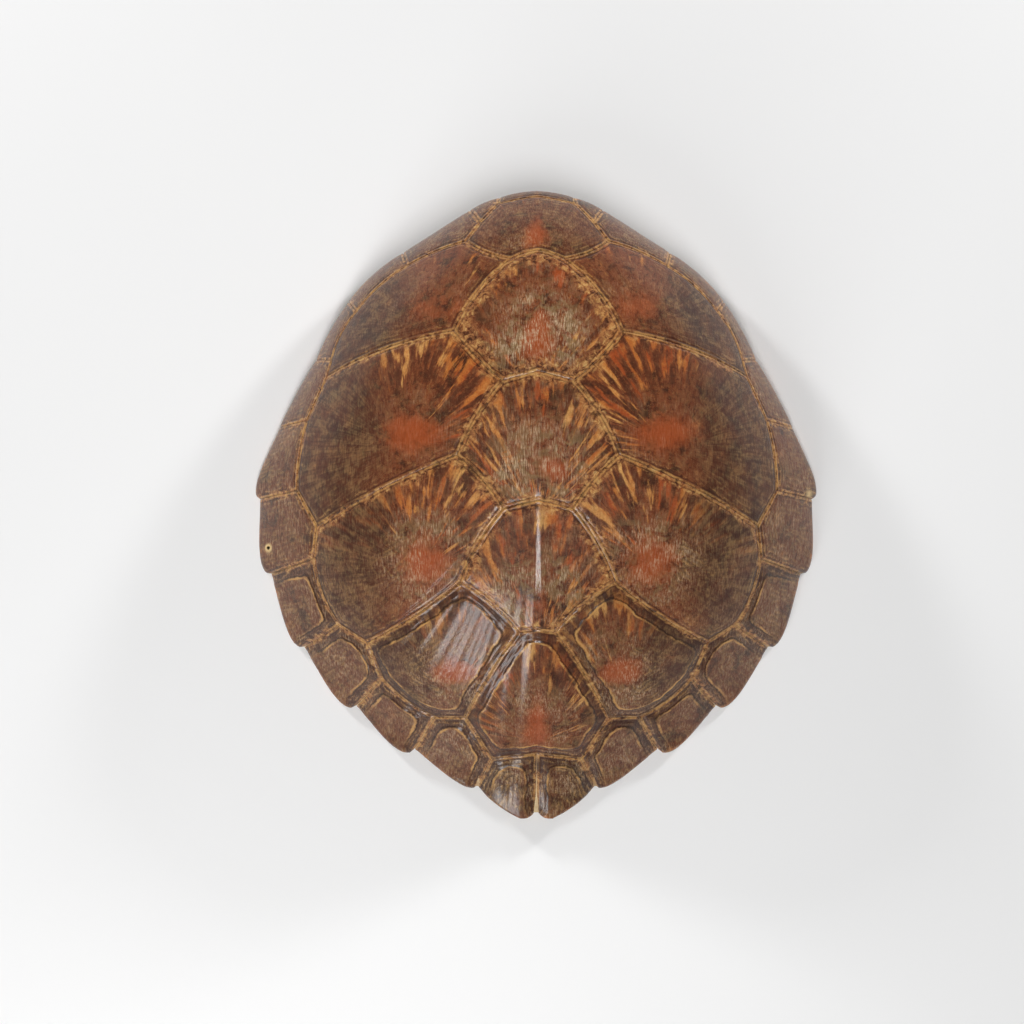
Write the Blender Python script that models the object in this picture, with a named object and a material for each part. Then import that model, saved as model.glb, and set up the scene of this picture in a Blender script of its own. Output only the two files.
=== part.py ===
"""Carapace of a sea turtle, laid dome up on its rim: one bony shell under 38 horny scutes.

+Y points to the head, +X to the animal's right and +Z up. The origin is on the floor under
the middle of the shell. Lengths are in millimetres until a vertex is placed.

Every scute is a thin plate laid out flat between its seams, bent over the dome and given
its thickness inwards. The bone is the same patchwork in one sheet, a little lower and thicker.
"""
import math

import bmesh
import bpy
from mathutils import Vector

MM = 0.001

# The dome
CROWN_HEIGHT = 135.0  # top of the dome above the floor
CROWN_Y = 20.0  # the dome is highest a little ahead of the middle
MIDDLE_Y = -1.5  # the junctions' own zero lies this far from the middle of the length
KEEL_HEIGHT = 2.5
KEEL_WIDTH = 9.0
KEEL_FRONT = 150.0
KEEL_BACK = -190.0
KEEL_FADE = 60.0

# The rim
RIM_DEPTH = 7.0  # height of the rim's outer wall
FLAT_FRONT = 66.0  # between these two the rim lies flat on the floor
FLAT_BACK = -118.0
FRONT_RISE = 25.0  # the rim lifts off the floor over the neck
FRONT_END = 252.0
TAIL_RISE = 10.0  # and a little at the tail
TAIL_END = -255.0

# The layers
SCUTE_THICKNESS = 2.0
LAYER_GAP = 0.3
SEAM_RETREAT = 0.2  # how far each scute stops short of a seam
SEAM_DIP = 0.6  # how far a scute's edge sinks below its face
SKIRT_LIFT = 0.6  # the scutes stop this far above the bone's lower edge
BONE_THICKNESS = 6.0
BONE_RIM_THICKNESS = 7.0
BACKBONE_DEPTH = 7.0
BACKBONE_WIDTH = 8.0

# The drilled hole near the left edge
HOLE_DIAMETER = 3.0
HOLE_PLACE = (-217.0, -35.0)
HOLE_SIDES = 12

SEAM_STEP = 22.0  # rough distance between vertices along a seam
RIM_STEP = 12.0  # and along the rim
LARGE_RINGS = (1.0, 0.55)
SMALL_RINGS = (1.0,)

# Where the scutes of the right half meet, named by the scutes that meet there:
# N nuchal, V vertebral, C costal, M marginal, S supracaudal. "rim" is the outer edge
# and "mid" the seam between the two supracaudals.
JUNCTIONS = {
    "N rim": (0, 252),
    "N V1": (0, 245),
    "V1 V2": (0, 196),
    "V2 V3": (0, 100),
    "V3 V4": (0, 3),
    "V4 V5": (0, -96),
    "V5 S mid": (0, -199),
    "S rim mid": (0, -248),
    "N V1 M1": (31, 239),
    "V1 M1 M2": (45, 222),
    "V1 M2 C1": (56, 206),
    "V1 C1 V2": (20, 189),
    "V2 C1 C2": (64, 132),
    "V2 C2 V3": (27, 93),
    "V3 C2 C3": (61, 37),
    "V3 C3 V4": (26, -3),
    "V4 C3 C4": (59, -59),
    "V4 C4 V5": (14, -98),
    "V5 C4 M11": (57, -169),
    "V5 M11 S": (36, -204),
    "C1 M2 M3": (103, 189),
    "C1 M3 M4": (144, 154),
    "C1 M4 M5": (164, 115),
    "C1 C2 M5": (167, 102),
    "C2 M5 M6": (183, 67),
    "C2 M6 M7": (190, 11),
    "C2 C3 M7": (173, -17),
    "C3 M7 M8": (177, -43),
    "C3 M8 M9": (157, -96),
    "C3 C4 M9": (135, -109),
    "C4 M9 M10": (124, -139),
    "C4 M10 M11": (82, -170),
    "N M1 rim": (30, 247),
    "M1 M2 rim": (54, 237),
    "M2 M3 rim": (108, 204),
    "M3 M4 rim": (153, 165),
    "M4 M5 rim": (180, 118),
    "M5 M6 rim": (210, 63),
    "M6 M7 rim": (226, 4),
    "M7 M8 rim": (217, -57),
    "M8 M9 rim": (190, -117),
    "M9 M10 rim": (147, -165),
    "M10 M11 rim": (99, -200),
    "M11 S rim": (48, -229),
    "S rim": (13, -255),
}

# How far a seam bows away from the top of the dome. Seams not named here are straight.
BOWS = {
    "N V1": 0.5,
    "N rim": 1.0,
    "V1 V2": 1.0,
    "C1 V1": -3.0,
    "C1 V2": 5.0,
    "C2 V2": -2.0,
    "C2 V3": 3.0,
    "C3 V3": -2.0,
    "C3 V4": 3.0,
    "C4 V4": -3.0,
    "C4 V5": -2.0,
    "C1 C2": 4.0,
    "C2 C3": 3.0,
    "C3 C4": 3.0,
    "C1 M2": 2.0,
    "C1 M3": 3.0,
    "C1 M4": 3.0,
    "C2 M6": 2.0,
    "C3 M8": 4.0,
    "C4 M10": 3.0,
    "M1 rim": 1.0,
    "M3 rim": 3.0,
    "M4 rim": 1.5,
    "M5 rim": 1.0,
    "M6 rim": 6.0,
    "M7 rim": 6.5,
    "M8 rim": 6.5,
    "M9 rim": 7.5,
    "M10 rim": 8.0,
    "M11 rim": 5.5,
    "S rim": 2.5,
}

# The rim edges of these stand out most towards the tail, like the teeth of a saw
SERRATED = ("M6 rim", "M7 rim", "M8 rim", "M9 rim", "M10 rim", "M11 rim")

# The growth centre that each large scute spreads from
CENTRES = {
    "N": (0, 248),
    "V1": (0, 208),
    "V2": (0, 124),
    "V3": (0, 26),
    "V4": (0, -74),
    "V5": (0, -174),
    "C1": (76, 151),
    "C2": (93, 55),
    "C3": (84, -43),
    "C4": (62, -129),
}

BONE_COLOUR = (0.62, 0.50, 0.33)
KEEL_COLOUR = (0.30, 0.13, 0.05)
SIDE_COLOUR = (0.13, 0.07, 0.04)
EDGE_COLOUR = (0.24, 0.09, 0.03)


def remove_everything():
    """Start from an empty scene."""
    for thing in list(bpy.data.objects):
        bpy.data.objects.remove(thing, do_unlink=True)


def away_from_crown(x, y):
    """Distance from the top of the dome and the direction as (side, ahead)."""
    reach = max(math.hypot(x, y - CROWN_Y), 1e-6)
    return reach, x / reach, (y - CROWN_Y) / reach


def bow_shape(part, serrated):
    """How far a bowed seam stands out at one part of its way towards the tail, from 0 to 1."""
    if serrated:
        return 2.8 * part ** 1.4 * (1 - part) ** 0.45
    return 4 * part * (1 - part)


def seam(start, end, pair):
    """Points along the seam between two scutes, without its last one."""
    (x0, y0), (x1, y1) = start, end
    length = math.hypot(x1 - x0, y1 - y0)
    steps = max(1, round(length / (RIM_STEP if "rim" in pair else SEAM_STEP)))
    across_x, across_y = (y1 - y0) / length, (x0 - x1) / length
    if across_x * (x0 + x1) / 2 + across_y * ((y0 + y1) / 2 - CROWN_Y) < 0:
        across_x, across_y = -across_x, -across_y
    points = []
    for step in range(steps):
        part = step / steps
        lift = BOWS.get(pair, 0.0) * bow_shape(part if y1 < y0 else 1 - part, pair in SERRATED)
        points.append((x0 + part * (x1 - x0) + lift * across_x, y0 + part * (y1 - y0) + lift * across_y))
    return points


def corners(label):
    """The junctions round one scute, in order round its centre, each with the scutes that meet there."""
    own = [(x, y, meeting.split()) for meeting, (x, y) in JUNCTIONS.items() if label in meeting.split()]
    if label[0] in "NV":
        own += [(-x, y, meeting) for x, y, meeting in own if x > 0]
    centre_x, centre_y = scute_centre(label)
    return sorted(own, key=lambda corner: math.atan2(corner[1] - centre_y, corner[0] - centre_x))


def scute_centre(label):
    """The point that a scute's rings close in on."""
    if label in CENTRES:
        return CENTRES[label]
    own = [place for meeting, place in JUNCTIONS.items() if label in meeting.split()]
    return sum(x for x, y in own) / len(own), sum(y for x, y in own) / len(own)


def scute_border(label):
    """The closed line round a scute: a list of (x, y, on the rim)."""
    border = []
    own = corners(label)
    for (x0, y0, here), (x1, y1, there) in zip(own, own[1:] + own[:1]):
        pair = " ".join(sorted(set(here) & set(there)))
        for number, (x, y) in enumerate(seam((x0, y0), (x1, y1), pair)):
            border.append((x, y, "rim" in pair or (number == 0 and "rim" in here)))
    return border


def rim_outline():
    """The outer edge of the right half as (turn from straight ahead, reach), front to tail."""
    outline = {}
    labels = ["N"] + ["M%d" % number for number in range(1, 12)] + ["S"]
    for label in labels:
        for x, y, on_rim in scute_border(label):
            if on_rim and x >= 0:
                reach, side, ahead = away_from_crown(x, y)
                outline[round(math.atan2(side, ahead), 6)] = reach
    return sorted(outline.items())


OUTLINE = rim_outline()


def edge_reach(turn):
    """Distance from the top of the dome to the rim in one direction."""
    turn = abs(math.remainder(turn, 2 * math.pi))
    for (turn_0, reach_0), (turn_1, reach_1) in zip(OUTLINE, OUTLINE[1:]):
        if turn <= turn_1:
            return reach_0 + (reach_1 - reach_0) * (turn - turn_0) / (turn_1 - turn_0)
    return OUTLINE[-1][1]


def smooth_reach(turn):
    """The same without the scallops, for the middle of the dome."""
    spread = [edge_reach(turn + math.radians(5 * step)) for step in range(-3, 4)]
    return sum(spread) / len(spread)


def rim_bottom(y):
    """Height of the rim's lower edge above the floor."""
    if y > FLAT_FRONT:
        return FRONT_RISE * ((y - FLAT_FRONT) / (FRONT_END - FLAT_FRONT)) ** 2
    if y < FLAT_BACK:
        return TAIL_RISE * ((y - FLAT_BACK) / (TAIL_END - FLAT_BACK)) ** 2
    return 0.0


def keel(x, y):
    """The low ridge along the back."""
    inside = min(KEEL_FRONT - y, y - KEEL_BACK) / KEEL_FADE
    fade = min(1.0, max(0.0, inside))
    return KEEL_HEIGHT * fade / (1 + (x / KEEL_WIDTH) ** 2)


def dome_height(x, y):
    """Height of the shell's outer face, steep over the neck and flared at the tail."""
    reach, side, ahead = away_from_crown(x, y)
    turn = math.atan2(side, ahead)
    exact, smooth = edge_reach(turn), smooth_reach(turn)
    near_rim = min(1.0, reach / exact) ** 8
    out = min(1.0, reach / (smooth + (exact - smooth) * near_rim))
    fullness = 2.4 + 0.2 * ahead
    steepness = 0.9 - (0.28 if ahead > 0 else 0.25) * ahead
    edge = rim_bottom(y) + RIM_DEPTH
    return edge + (CROWN_HEIGHT - edge) * (1 - out ** fullness) ** steepness + keel(x, y)


def outward(x, y):
    """The outer face's own normal."""
    step = 0.5
    slope_x = (dome_height(x + step, y) - dome_height(x - step, y)) / (2 * step)
    slope_y = (dome_height(x, y + step) - dome_height(x, y - step)) / (2 * step)
    return Vector((-slope_x, -slope_y, 1.0)).normalized()


def shell_point(x, y, on_rim):
    """A point of the outer face and the way inwards there, mitred along the rim's edge."""
    if not on_rim:
        return Vector((x, y, dome_height(x, y))), -outward(x, y)
    just_inside = 0.985
    face = outward(x * just_inside, CROWN_Y + (y - CROWN_Y) * just_inside)
    wall = Vector((face.x, face.y, 0.0)).normalized()
    mitre = (face + wall) / (1 + face.dot(wall))
    return Vector((x, y, rim_bottom(y) + RIM_DEPTH)), -mitre


def backbone(x, y):
    """Extra thickness of the bone under the keel, where the backbone is part of it."""
    inside = min(KEEL_FRONT + KEEL_FADE - y, y - KEEL_BACK) / KEEL_FADE
    return BACKBONE_DEPTH * min(1.0, max(0.0, inside)) * math.exp(-(x / BACKBONE_WIDTH) ** 2)


class Sheet:
    """A sheet over the dome, given its thickness at the end."""

    def __init__(self):
        self.mesh = bmesh.new()
        self.inward = self.mesh.verts.layers.float_vector.new("inward")

    def vertex(self, place, inward, depth, thickness):
        """One vertex at a depth below the outer face, with the way through the plate stored on it."""
        vert = self.mesh.verts.new((place + inward * depth - Vector((0.0, MIDDLE_Y, 0.0))) * MM)
        vert[self.inward] = inward * thickness * MM
        return vert

    def patch(self, label, depth, thickness_at, retreat, dip, lift):
        """One scute's area: rings of faces round its centre, and the wall down its rim."""
        border = scute_border(label)
        centre_x, centre_y = scute_centre(label)
        rings = []
        for size in LARGE_RINGS if label[0] in "VC" else SMALL_RINGS:
            ring = []
            for x, y, on_rim in border:
                at_x, at_y = centre_x + size * (x - centre_x), centre_y + size * (y - centre_y)
                edge = size == 1.0
                place, inward = shell_point(at_x, at_y, on_rim and edge)
                sunk = depth + (dip if edge and not on_rim else 0.0)
                ring.append(self.vertex(place, inward, sunk, thickness_at(at_x, at_y, on_rim and edge)))
            rings.append(ring)
        place, inward = shell_point(centre_x, centre_y, False)
        middle = self.vertex(place, inward, depth, thickness_at(centre_x, centre_y, False))
        wall = self.rim_wall(border, depth, thickness_at, lift)
        self.retreat(border, rings, middle, wall, retreat)
        self.skin(rings, middle, wall)

    def rim_wall(self, border, depth, thickness_at, lift):
        """The lower vertices of the rim's wall, keyed by their place in the border."""
        wall = {}
        for index, (x, y, on_rim) in enumerate(border):
            if on_rim:
                inward = shell_point(x, y, True)[1]
                level = Vector((inward.x, inward.y, 0.0)).normalized()
                foot = Vector((x, y, rim_bottom(y) + lift))
                wall[index] = self.vertex(foot, level, depth, thickness_at(x, y, True))
        return wall

    def retreat(self, border, rings, middle, wall, distance):
        """Pull the border a little way back from its seams, within the faces that it bounds."""
        count = len(border)
        moves = []
        for index, (_, _, on_rim) in enumerate(border):
            before, after = (index - 1) % count, (index + 1) % count
            if not on_rim:
                moves.append((rings[0][index], rings[1][index] if len(rings) > 1 else middle))
            elif not (border[before][2] and border[after][2]):
                along = after if border[after][2] else before
                moves.append((rings[0][index], rings[0][along]))
                moves.append((wall[index], wall[along]))
        shifts = [(vert, (goal.co - vert.co).normalized() * distance * MM) for vert, goal in moves]
        for vert, shift in shifts:
            vert.co += shift

    def skin(self, rings, middle, wall):
        """Join the rings, the centre and the wall with faces."""
        count = len(rings[0])
        for index in range(count):
            after = (index + 1) % count
            for outer, inner in zip(rings, rings[1:]):
                self.mesh.faces.new((outer[index], outer[after], inner[after]))
                self.mesh.faces.new((outer[index], inner[after], inner[index]))
            self.mesh.faces.new((rings[-1][index], rings[-1][after], middle))
            if index in wall and after in wall:
                self.mesh.faces.new((wall[index], wall[after], rings[0][after], rings[0][index]))

    def mirror(self):
        """Turn the sheet into its mirror image."""
        for vert in self.mesh.verts:
            vert.co.x *= -1
            vert[self.inward].x *= -1
        bmesh.ops.reverse_faces(self.mesh, faces=self.mesh.faces)

    def thicken(self):
        """Extrude the sheet inwards into a closed plate."""
        bmesh.ops.remove_doubles(self.mesh, verts=self.mesh.verts, dist=0.01 * MM)
        extruded = bmesh.ops.extrude_face_region(self.mesh, geom=self.mesh.faces[:])
        for item in extruded["geom"]:
            if isinstance(item, bmesh.types.BMVert):
                item.co += item[self.inward]
        bmesh.ops.recalc_face_normals(self.mesh, faces=self.mesh.faces)
        bmesh.ops.triangulate(self.mesh, faces=self.mesh.faces)

    def finish(self, name, colour, roughness):
        """Make the object, with its own material."""
        data = bpy.data.meshes.new(name)
        self.mesh.to_mesh(data)
        self.mesh.free()
        data.materials.append(make_material(name, colour, roughness))
        data.shade_smooth()
        data.set_sharp_from_angle(angle=math.radians(35))
        thing = bpy.data.objects.new(name, data)
        bpy.context.collection.objects.link(thing)
        return thing


def make_material(name, colour, roughness):
    """A plain material of one colour."""
    material = bpy.data.materials.new(name)
    material.use_nodes = True
    shader = material.node_tree.nodes["Principled BSDF"]
    shader.inputs["Base Color"].default_value = (*colour, 1.0)
    shader.inputs["Roughness"].default_value = roughness
    shader.inputs["Metallic"].default_value = 0.0
    return material


def make_scute(label, name, colour, left=False):
    """One horny plate."""
    sheet = Sheet()
    sheet.patch(label, 0.0, lambda x, y, on_rim: SCUTE_THICKNESS, SEAM_RETREAT, SEAM_DIP, SKIRT_LIFT)
    if left:
        sheet.mirror()
    sheet.thicken()
    return sheet.finish(name, colour, 0.25)


def bone_thickness(x, y, on_rim):
    """Thickness of the bone under one point of the shell."""
    return BONE_RIM_THICKNESS if on_rim else BONE_THICKNESS + backbone(x, y)


def make_bone():
    """The bony carapace: all the patches in one sheet, below the scutes."""
    depth = SCUTE_THICKNESS + LAYER_GAP
    paired = ["C%d" % number for number in range(1, 5)] + ["M%d" % number for number in range(1, 12)] + ["S"]
    middle = ["N"] + ["V%d" % number for number in range(1, 6)]
    sheet = Sheet()
    for label in paired:
        sheet.patch(label, depth, bone_thickness, 0.0, SEAM_DIP, 0.0)
    sheet.mirror()
    for label in paired + middle:
        sheet.patch(label, depth, bone_thickness, 0.0, SEAM_DIP, 0.0)
    sheet.thicken()
    return sheet.finish("bony_carapace", BONE_COLOUR, 0.6)


def drill(things):
    """Cut the small hole near the left edge through everything there."""
    bpy.ops.mesh.primitive_cylinder_add(
        vertices=HOLE_SIDES,
        radius=HOLE_DIAMETER / 2 * MM,
        depth=2 * CROWN_HEIGHT * MM,
        location=(HOLE_PLACE[0] * MM, (HOLE_PLACE[1] - MIDDLE_Y) * MM, 0.0),
    )
    drill_bit = bpy.context.active_object
    drill_bit.name = "drill_bit"
    drill_bit.hide_render = True
    drill_bit.display_type = "WIRE"
    for thing in things:
        cut = thing.modifiers.new("drilled hole", "BOOLEAN")
        cut.operation = "DIFFERENCE"
        cut.solver = "EXACT"
        cut.object = drill_bit


def main():
    """Model the whole shell."""
    remove_everything()
    bone = make_bone()
    make_scute("N", "nuchal_scute", EDGE_COLOUR)
    for number in range(1, 6):
        make_scute("V%d" % number, "vertebral_scute_%d" % number, KEEL_COLOUR)
    drilled = [bone]
    for side, left in (("left", True), ("right", False)):
        for number in range(1, 5):
            make_scute("C%d" % number, "costal_scute_%s_%d" % (side, number), SIDE_COLOUR, left)
        for number in range(1, 12):
            scute = make_scute("M%d" % number, "marginal_scute_%s_%d" % (side, number), EDGE_COLOUR, left)
            if left and number == 7:
                drilled.append(scute)
        make_scute("S", "supracaudal_scute_%s" % side, EDGE_COLOUR, left)
    drill(drilled)


main()
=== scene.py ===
"""Sea turtle carapace laid dome up on its rim: varnished horn scutes over bone.

+Y points to the head, +X to the animal's right and +Z up. The outlines are in millimetres,
measured from the seams' own zero, until a vertex is placed.
"""

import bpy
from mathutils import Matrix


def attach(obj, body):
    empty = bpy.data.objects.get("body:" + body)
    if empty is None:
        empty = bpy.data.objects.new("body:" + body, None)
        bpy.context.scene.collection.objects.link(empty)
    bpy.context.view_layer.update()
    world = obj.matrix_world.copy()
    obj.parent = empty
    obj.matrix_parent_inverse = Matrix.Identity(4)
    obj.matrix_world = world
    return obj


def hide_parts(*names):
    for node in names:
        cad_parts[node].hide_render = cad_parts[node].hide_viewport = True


bl_info = {
    "name": "Sea Turtle Shell",
    "version": (1, 0, 0),
    "blender": (4, 5, 0),
    "location": "View3D > Sidebar > Shell",
    "description": "Builds a varnished sea turtle carapace, scute by scute, on a pale floor",
    "category": "Object",
}

import math

import bpy
import numpy as np
from bpy.props import FloatProperty, FloatVectorProperty, PointerProperty
from bpy.types import NodeSocket, Operator, Panel, PropertyGroup
from mathutils import Vector

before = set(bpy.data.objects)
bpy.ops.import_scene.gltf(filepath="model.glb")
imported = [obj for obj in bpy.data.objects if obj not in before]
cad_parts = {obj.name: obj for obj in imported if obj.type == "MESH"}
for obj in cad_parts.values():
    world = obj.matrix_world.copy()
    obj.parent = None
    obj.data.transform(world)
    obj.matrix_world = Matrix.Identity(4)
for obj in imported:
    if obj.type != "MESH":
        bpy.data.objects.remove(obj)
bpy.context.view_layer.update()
MM = 0.001

# The dome
CROWN_HEIGHT = 135.0
CROWN_Y = 20.0
MIDDLE_Y = -1.5
KEEL_HEIGHT = 2.5
KEEL_WIDTH = 9.0
KEEL_FRONT = 150.0
KEEL_BACK = -190.0
KEEL_FADE = 60.0

# The rim
RIM_DEPTH = 7.0
FLAT_FRONT = 66.0
FLAT_BACK = -118.0
FRONT_RISE = 25.0
FRONT_END = 252.0
TAIL_RISE = 10.0
TAIL_END = -255.0

# The layers
SCUTE_THICKNESS = 2.0
BONE_DEPTH = 2.3
SEAM_RETREAT = 0.15
SKIRT_LIFT = 0.6
BONE_THICKNESS = 6.0
BONE_RIM_THICKNESS = 7.0
BACKBONE_DEPTH = 7.0
BACKBONE_WIDTH = 8.0
HOLE_PLACE = (-217.0, -35.0)

# The horn's relief, measured from the seam inwards: a cut, a slope up to a raised lip, a groove
# behind the lip, fading growth lines and, on the rear scutes, two steps up to a plateau
CUT_WIDTH = 0.45
SLOPE_DEPTH = 0.45
SLOPE_WIDTH = 3.2
GROOVE_DEPTH = 0.3
GROOVE_PLACE = 2.9
GROOVE_WIDTH = 0.75
LIP_BACK = (1.6, 2.6)
GROWTH_PITCH = 1.9
GROWTH_FADE = 7.0
STEP_LINE = 8.0
STEP_SOFTNESS = 0.8
LOW_STEP_HEIGHT = 0.3
LOW_STEP_LINE = (4.9, 4.1)
SWELL_DEPTH = 0.1
CREST_DEPTH = 0.07
CREST_WIDTH = 2.2
DEEPEST = 1.45
CORNER_ROUND = 3.0

# Where the scutes of the right half meet, named by the scutes that meet there:
# N nuchal, V vertebral, C costal, M marginal, S supracaudal. "rim" is the outer edge
# and "mid" the seam between the two supracaudals.
JUNCTIONS = {
    "N rim": (0, 252), "N V1": (0, 245), "V1 V2": (0, 196), "V2 V3": (0, 100), "V3 V4": (0, 3),
    "V4 V5": (0, -96), "V5 S mid": (0, -199), "S rim mid": (0, -248),
    "N V1 M1": (31, 239), "V1 M1 M2": (45, 222), "V1 M2 C1": (56, 206), "V1 C1 V2": (20, 189),
    "V2 C1 C2": (64, 132), "V2 C2 V3": (27, 93), "V3 C2 C3": (61, 37), "V3 C3 V4": (26, -3),
    "V4 C3 C4": (59, -59), "V4 C4 V5": (14, -98), "V5 C4 M11": (57, -169), "V5 M11 S": (36, -204),
    "C1 M2 M3": (103, 189), "C1 M3 M4": (144, 154), "C1 M4 M5": (164, 115), "C1 C2 M5": (167, 102),
    "C2 M5 M6": (183, 67), "C2 M6 M7": (190, 11), "C2 C3 M7": (173, -17), "C3 M7 M8": (177, -43),
    "C3 M8 M9": (157, -96), "C3 C4 M9": (135, -109), "C4 M9 M10": (124, -139),
    "C4 M10 M11": (82, -170),
    "N M1 rim": (30, 247), "M1 M2 rim": (54, 237), "M2 M3 rim": (108, 204),
    "M3 M4 rim": (153, 165), "M4 M5 rim": (180, 118), "M5 M6 rim": (210, 63),
    "M6 M7 rim": (226, 4), "M7 M8 rim": (217, -57), "M8 M9 rim": (190, -117),
    "M9 M10 rim": (147, -165), "M10 M11 rim": (99, -200), "M11 S rim": (48, -229),
    "S rim": (13, -255),
}

# How far a seam bows away from the top of the dome. Seams not named here are straight.
BOWS = {
    "N V1": 0.5, "N rim": 1.0, "V1 V2": 1.0, "C1 V1": -3.0, "C1 V2": 5.0, "C2 V2": -2.0,
    "C2 V3": 3.0, "C3 V3": -2.0, "C3 V4": 3.0, "C4 V4": -3.0, "C4 V5": -2.0, "C1 C2": 4.0,
    "C2 C3": 3.0, "C3 C4": 3.0, "C1 M2": 2.0, "C1 M3": 3.0, "C1 M4": 3.0, "C2 M6": 2.0,
    "C3 M8": 4.0, "C4 M10": 3.0, "M1 rim": 1.0, "M3 rim": 3.0, "M4 rim": 1.5, "M5 rim": 1.0,
    "M6 rim": 6.0, "M7 rim": 6.5, "M8 rim": 6.5, "M9 rim": 7.5, "M10 rim": 8.0,
    "M11 rim": 5.5, "S rim": 2.5,
}
SERRATED = ("M6 rim", "M7 rim", "M8 rim", "M9 rim", "M10 rim", "M11 rim")

# The growth centre that each large scute spreads from
CENTRES = {
    "N": (0, 248), "V1": (0, 208), "V2": (0, 124), "V3": (0, 26), "V4": (0, -74),
    "V5": (0, -174), "C1": (76, 151), "C2": (93, 55), "C3": (84, -43), "C4": (62, -129),
}

# Fineness of the meshes
SEAM_STEP = 1.7
LINE_STEPS = (0, 0.15, 0.35, 0.6, 0.9, 1.25, 1.6, 2.0, 2.4, 2.9, 3.4, 4.0, 4.7, 5.4, 6.2, 7.0,
              7.8, 8.6, 9.5)
FACE_STEP = 2.0
UNDER_ROWS = 7
WALL_ROWS = 5
BONE_STEP = 3.4
BONE_ROWS = 74
BONE_TOP_ROWS = 24
POINTS_AT_ONCE = 4000

# What each scute shows. patch: (ahead, aside, half length, half width, strength) of its orange
# spot from the growth centre. root: (back, aside) from there to the point that the rays spread
# from. rays: the turns in degrees, from straight ahead towards the rim, between which bright
# rays lie, and their strength; pitch: how many there are; length: how far in from the seam
# they reach. outer_tone_and_sheen: the distance from the keel where the outer part begins, darker
# grey-brown horn with a painted grey sheen of the steep sides; dull: how much of that tone the
# rest has. worn: how much grey hatching. band: width of the mottled border.
# plateau: True where the scute stands up in steps inside its seams, with a painted shadow at each
# step's foot and a painted highlight along its top edge.
LOOKS = {
    "V1": {"patch": (2, 0, 13, 8, 0.7), "root": (20, 0), "rays": (-70, 70, 0.3), "pitch": 0.8,
           "length": 18, "outer_tone_and_sheen": 40, "dull": 0.6, "worn": 0.5, "band": 4},
    "V2": {"patch": (3, 0, 22, 10, 0.8), "root": (45, 0), "rays": (-100, 100, 0.6), "pitch": 0.9,
           "length": 34, "outer_tone_and_sheen": 90, "dull": 0.0, "worn": 1.8, "band": 16},
    "V3": {"patch": (0, 10, 10, 14, 0.6), "root": (38, 0), "rays": (-85, 85, 1.0), "pitch": 1.35,
           "length": 40, "outer_tone_and_sheen": 90, "dull": 0.0, "worn": 1.9, "band": 10},
    "V4": {"patch": (-1, 0, 9, 12, 0.5), "root": (38, 0), "rays": (-85, 85, 0.95), "pitch": 1.1,
           "length": 42, "outer_tone_and_sheen": 90, "dull": 0.0, "worn": 2.0, "band": 11},
    "V5": {"patch": (2, 0, 19, 9, 0.75), "root": (14, 0), "rays": (-80, 80, 0.85), "pitch": 1.2,
           "length": 40, "outer_tone_and_sheen": 40, "dull": 0.2, "worn": 0.9, "band": 4, "plateau": True},
    "C1": {"patch": (0, 0, 13, 22, 0.4), "root": (15, 5), "rays": (-120, 20, 0.3), "pitch": 0.8,
           "length": 26, "outer_tone_and_sheen": 92, "dull": 0.1, "worn": 0.3, "band": 4},
    "C2": {"patch": (-1, 2, 13, 22, 0.75), "root": (12, 8), "rays": (-90, 18, 1.0), "pitch": 1.05,
           "length": 48, "outer_tone_and_sheen": 112, "dull": 0.0, "worn": 0.3, "band": 7},
    "C3": {"patch": (-1, 1, 16, 19, 0.75), "root": (8, 5), "rays": (-90, 80, 1.0), "pitch": 0.95,
           "length": 46, "outer_tone_and_sheen": 106, "dull": 0.0, "worn": 1.2, "band": 9},
    "C4": {"patch": (-1, 2, 10, 17, 0.75), "root": (18, 6), "rays": (-60, 40, 1.0), "pitch": 0.95,
           "length": 34, "outer_tone_and_sheen": 70, "dull": 0.3, "worn": 1.0, "band": 5, "plateau": True},
    "N": {"outer_tone_and_sheen": 5, "dull": 0.5, "worn": 0.3, "band": 1},
    "S": {"outer_tone_and_sheen": 5, "dull": 0.4, "worn": 0.9, "band": 4, "plateau": True},
}
RIM_LOOK = {"outer_tone_and_sheen": 400, "dull": 0.55, "worn": 0.6, "band": 5}
STEPPED_RIM = ("M8", "M9", "M10", "M11")
NO_PATCH = (0, 0, -1, -1, 0)
NO_RAYS = (0, 1, 0)
NO_STEP = 99.0
CHIP_PLACE = (221.0, 8.5)

# The stage, in metres: name, place, the setting that holds the power, the lamp's share of it,
# width and height of the lamp, and whether the varnish mirrors it
LAMPS = (
    ("left_lamp", (-1.35, 1.35, 0.7), "main_power", 0.85, 0.25, 0.25, False),
    ("right_lamp", (1.4, 1.35, 0.7), "main_power", 0.9, 0.25, 0.25, False),
    ("top_lamp", (0.0, 0.5, 2.5), "top_power", 1.0, 1.6, 1.6, False),
    ("tail_lamp", (-0.62, -1.25, 0.8), "fill_power", 1.0, 0.3, 0.9, True),
    ("glint_lamp", (0.0, -0.6, 1.6), "glint_power", 1.0, 0.14, 0.9, True),
)
LAMP_AIM = (0.0, 0.0, 0.08)
FLOOR_HALF = 1.3
FLOOR_CLOUD = (0.72, 0.72, 0.72, 1)
ROOM_COLOUR = (1.0, 0.99, 0.98, 1)
CAMERA_PLACE = (-0.0197, -0.0044)
LENS = 64.3
SENSOR_WIDTH = 36.0


def tint(red, green, blue):
    """A colour given in 0 to 255 screen steps, as linear light."""
    steps = (value / 255.0 for value in (red, green, blue))
    linear = [(v / 12.92 if v <= 0.04045 else ((v + 0.055) / 1.055) ** 2.4) for v in steps]
    return (*linear, 1.0)


def smooth_step(low, high, value):
    """0 at low, 1 at high, eased in between. It runs down where high is below low."""
    part = np.clip((value - low) / (high - low), 0.0, 1.0)
    return part * part * (3 - 2 * part)


def unit(vectors):
    """The vectors at length 1."""
    return vectors / np.maximum(np.linalg.norm(vectors, axis=-1, keepdims=True), 1e-9)


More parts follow.
